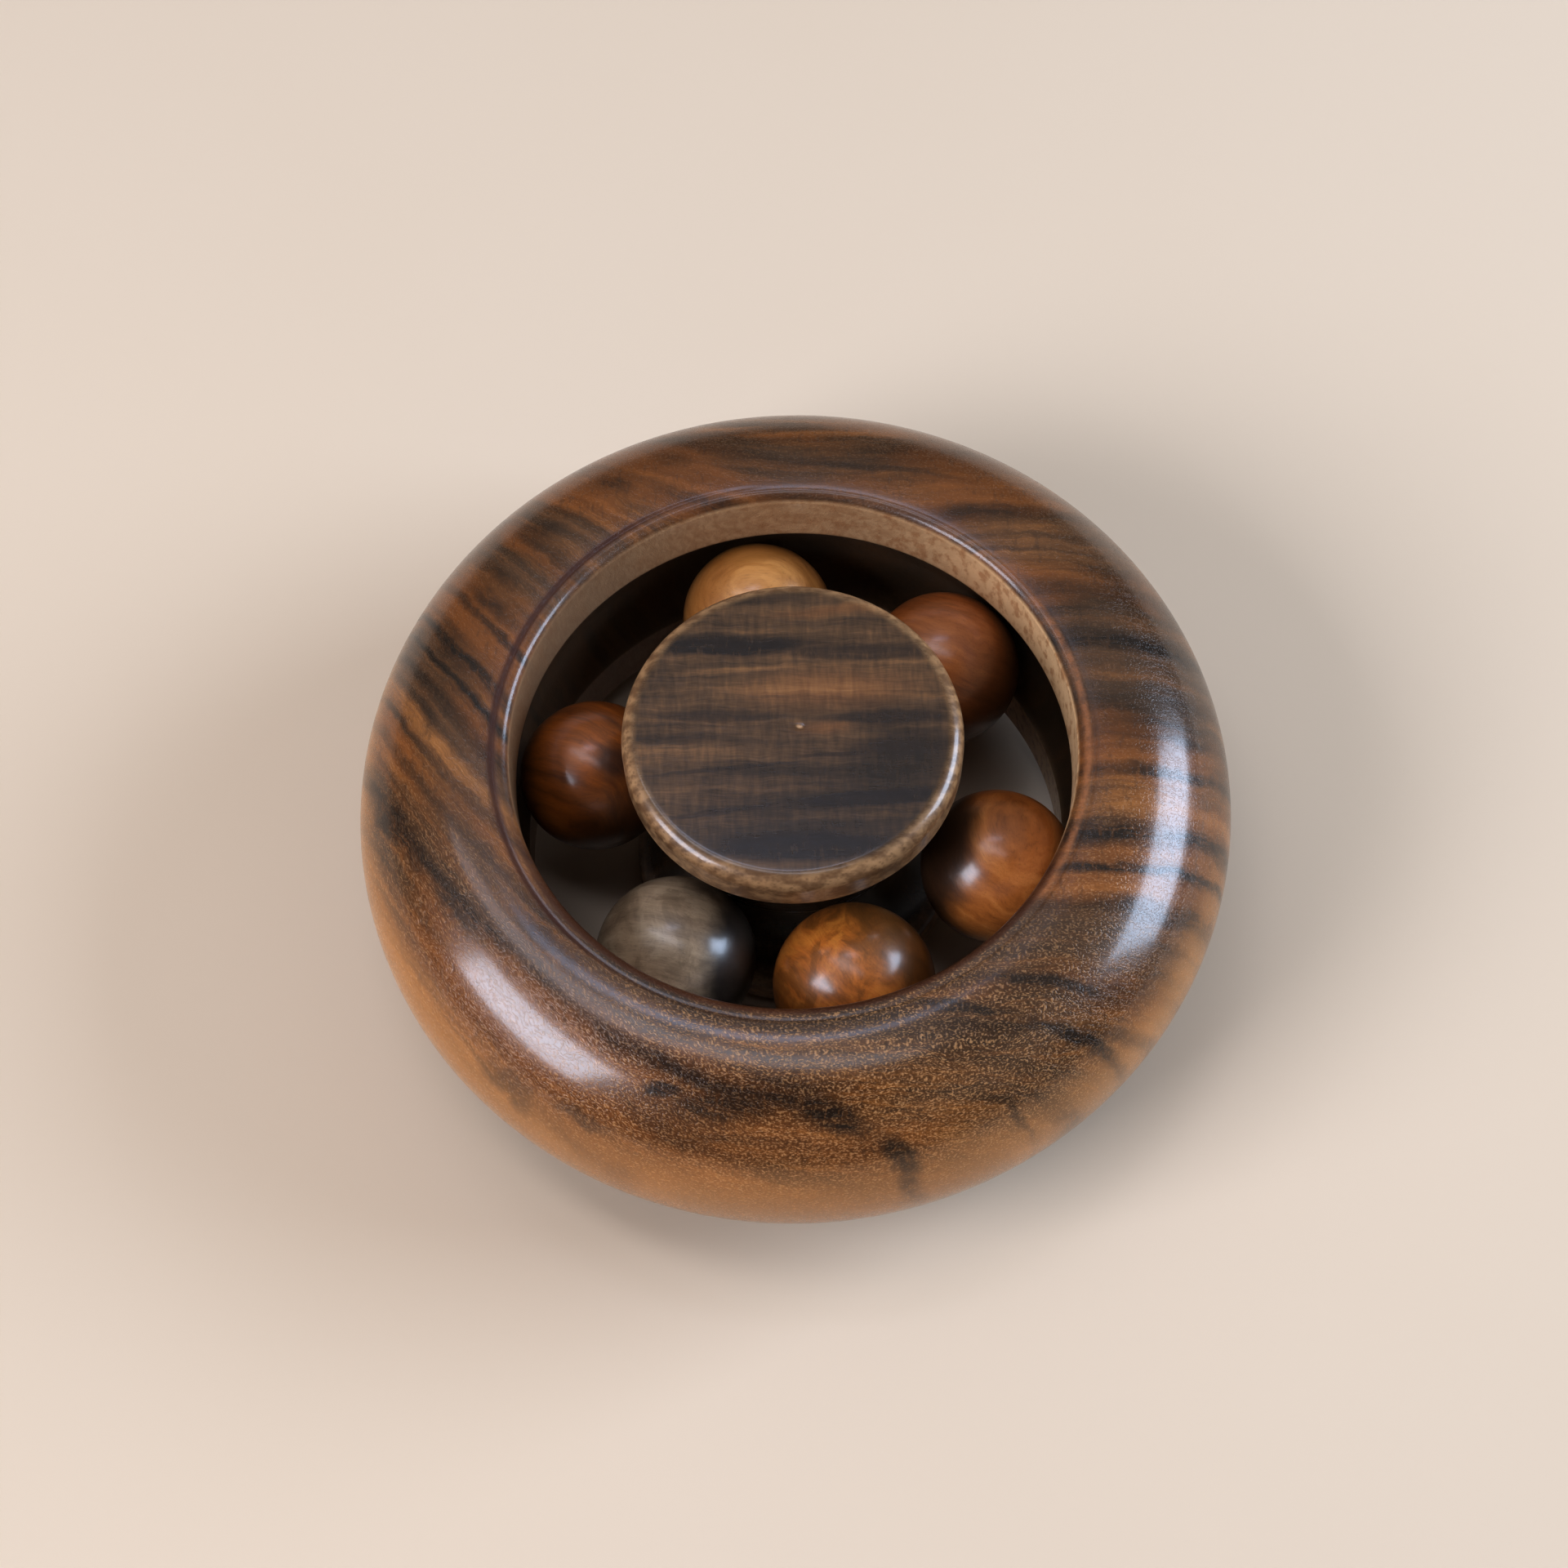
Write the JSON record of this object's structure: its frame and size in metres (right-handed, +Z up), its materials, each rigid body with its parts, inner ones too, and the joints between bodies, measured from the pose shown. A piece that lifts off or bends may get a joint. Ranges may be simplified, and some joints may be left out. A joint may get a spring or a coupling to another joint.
{
  "type": "wooden fidget spinner",
  "caption": "Turned wooden ring that spins on loose wooden balls round a spool-shaped hub held between thumb and finger.",
  "frame": {"origin": "centre of the lower cap's flat face, on the spin axis, where the spinner stands", "axes": "+Z up along the spin axis through the hub's caps, +Y away from the viewer of the picture, +X to the viewer's right"},
  "size_m": [0.056, 0.056, 0.0192],
  "materials": {
    "ring_wood": "dark striped hardwood, oiled and polished to a gloss",
    "hub_wood": "dark striped hardwood, oiled and polished",
    "dowel_wood": "plain pale hardwood, glued",
    "ball_red_brown": "red-brown hardwood, polished",
    "ball_honey": "honey-coloured hardwood with a brown band, polished",
    "ball_orange_brown": "orange-brown hardwood, polished",
    "ball_orange_dark": "orange-brown hardwood, dark on one side, polished",
    "ball_amber": "amber hardwood with a mottled figure, polished",
    "ball_grey_brown": "grey-brown hardwood, nearly black on one side, polished"
  },
  "bodies": {
    "hub": {"hub_upper_half": "hub_wood", "hub_lower_half": "hub_wood", "hub_dowel": "dowel_wood"},
    "ring": {"ring": "ring_wood"},
    "ball_left": {"ball_left": "ball_red_brown"},
    "ball_far": {"ball_far": "ball_honey"},
    "ball_upper_right": {"ball_upper_right": "ball_orange_brown"},
    "ball_lower_right": {"ball_lower_right": "ball_orange_dark"},
    "ball_near": {"ball_near": "ball_amber"},
    "ball_lower_left": {"ball_lower_left": "ball_grey_brown"}
  },
  "joints": [
    {"name": "ring_spin", "type": "hinge", "parent": "hub", "child": "ring", "pos_m": [0, 0, 0.0096], "axis": [0, 0, 1], "continuous": true},
    {"name": "ball_left_orbit", "type": "hinge", "parent": "hub", "child": "ball_left", "pos_m": [0, 0, 0.0096], "axis": [0, 0, 1], "continuous": true},
    {"name": "ball_far_orbit", "type": "hinge", "parent": "hub", "child": "ball_far", "pos_m": [0, 0, 0.0096], "axis": [0, 0, 1], "continuous": true},
    {"name": "ball_upper_right_orbit", "type": "hinge", "parent": "hub", "child": "ball_upper_right", "pos_m": [0, 0, 0.0096], "axis": [0, 0, 1], "continuous": true},
    {"name": "ball_lower_right_orbit", "type": "hinge", "parent": "hub", "child": "ball_lower_right", "pos_m": [0, 0, 0.0096], "axis": [0, 0, 1], "continuous": true},
    {"name": "ball_near_orbit", "type": "hinge", "parent": "hub", "child": "ball_near", "pos_m": [0, 0, 0.0096], "axis": [0, 0, 1], "continuous": true},
    {"name": "ball_lower_left_orbit", "type": "hinge", "parent": "hub", "child": "ball_lower_left", "pos_m": [0, 0, 0.0096], "axis": [0, 0, 1], "continuous": true}
  ],
  "couplings": [
    {"joint": "ball_left_orbit", "follows": "ring_spin", "ratio": 0.7},
    {"joint": "ball_far_orbit", "follows": "ring_spin", "ratio": 0.7},
    {"joint": "ball_upper_right_orbit", "follows": "ring_spin", "ratio": 0.7},
    {"joint": "ball_lower_right_orbit", "follows": "ring_spin", "ratio": 0.7},
    {"joint": "ball_near_orbit", "follows": "ring_spin", "ratio": 0.7},
    {"joint": "ball_lower_left_orbit", "follows": "ring_spin", "ratio": 0.7}
  ]
}
